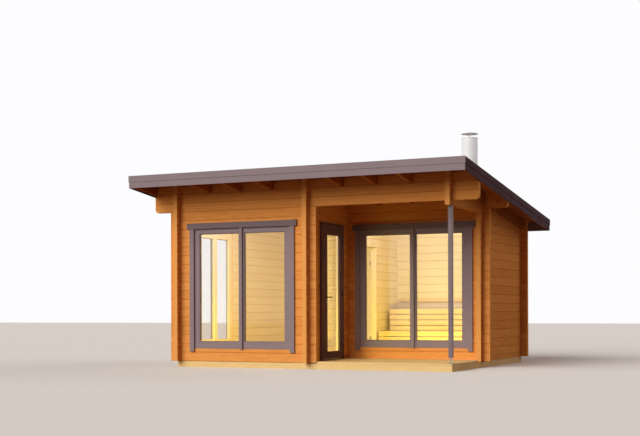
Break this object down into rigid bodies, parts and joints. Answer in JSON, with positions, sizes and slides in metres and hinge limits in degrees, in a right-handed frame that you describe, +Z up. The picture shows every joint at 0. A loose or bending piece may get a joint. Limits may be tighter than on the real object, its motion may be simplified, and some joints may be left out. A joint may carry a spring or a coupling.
{
  "type": "garden sauna",
  "caption": "Log garden sauna with a single-pitch roof, a glazed lounge, a recessed corner porch and a hot room behind it; the front door, its handle and the inner glass door move.",
  "frame": {"origin": "On the ground, under the middle of the roof's outline.", "axes": "+X to the right along the front, +Y to the back, +Z up. The lounge is at -X, the porch at +X and -Y."},
  "size_m": [5.22, 4.54, 3.596],
  "materials": {
    "log_wood": "honey-brown stained logs, satin",
    "timber_pale": "pale planed softwood, matt",
    "floor_wood": "oiled floor boards, satin",
    "bench_wood": "smooth untreated bench wood, matt",
    "frame_paint": "dark brown-grey painted wood, satin",
    "fascia_paint": "dark brown-grey painted board, satin",
    "post_paint": "dark powder coat, satin",
    "covering": "dark roofing membrane, matt",
    "steel": "brushed stainless steel",
    "pane": "clear insulating glass"
  },
  "bodies": {
    "house": {"foundation_timbers": "timber_pale", "floor_joists": "timber_pale", "terrace_deck": "timber_pale", "room_floors": "floor_wood", "front_wall": "log_wood", "front_beam": "log_wood", "sauna_front_wall": "log_wood", "rear_wall": "log_wood", "left_wall": "log_wood", "right_wall": "log_wood", "right_beam": "log_wood", "middle_wall_piers": "log_wood", "door_lintels": "log_wood", "middle_wall_top": "log_wood", "front_window_frame": "frame_paint", "sauna_window_frame": "frame_paint", "left_window_frame": "frame_paint", "window_glass": "pane", "door_frame": "frame_paint", "door_threshold": "timber_pale", "door_hinge_pins": "steel", "sauna_door_frame": "bench_wood", "sauna_door_hinge_pins": "steel", "rafters": "log_wood", "roof_boards": "log_wood", "roof_covering": "covering", "level_fascias": "fascia_paint", "side_fascias": "fascia_paint", "flue_pipe": "steel", "flue_collar": "steel", "flue_cap": "steel", "corner_post": "post_paint", "post_foot": "steel", "upper_bench": "bench_wood", "lower_bench": "bench_wood", "bench_backrest": "bench_wood"},
    "front_door": {"door_leaf": "frame_paint", "door_glass": "pane", "door_hinge_leaves": "steel", "door_handle_plates": "steel"},
    "door_lever": {"door_handle": "steel"},
    "sauna_door": {"sauna_door_leaf": "pane", "sauna_door_pull": "bench_wood", "sauna_door_hinge_clamps": "steel"}
  },
  "joints": [
    {"name": "door_swing", "type": "hinge", "parent": "house", "child": "front_door", "pos_m": [0.0725, -0.468, 1.1135], "axis": [0, 0, 1], "range_deg": [0, 95]},
    {"name": "lever_turn", "type": "hinge", "parent": "front_door", "child": "door_lever", "pos_m": [0.0395, -1.074, 1.046], "axis": [-1, 0, 0], "range_deg": [0, 40], "stiffness_Nm_per_rad": 2, "springref_deg": -20.05},
    {"name": "sauna_door_swing", "type": "hinge", "parent": "house", "child": "sauna_door", "pos_m": [-0.0575, 0.944, 1.0005], "axis": [0, 0, -1], "range_deg": [0, 95]}
  ]
}
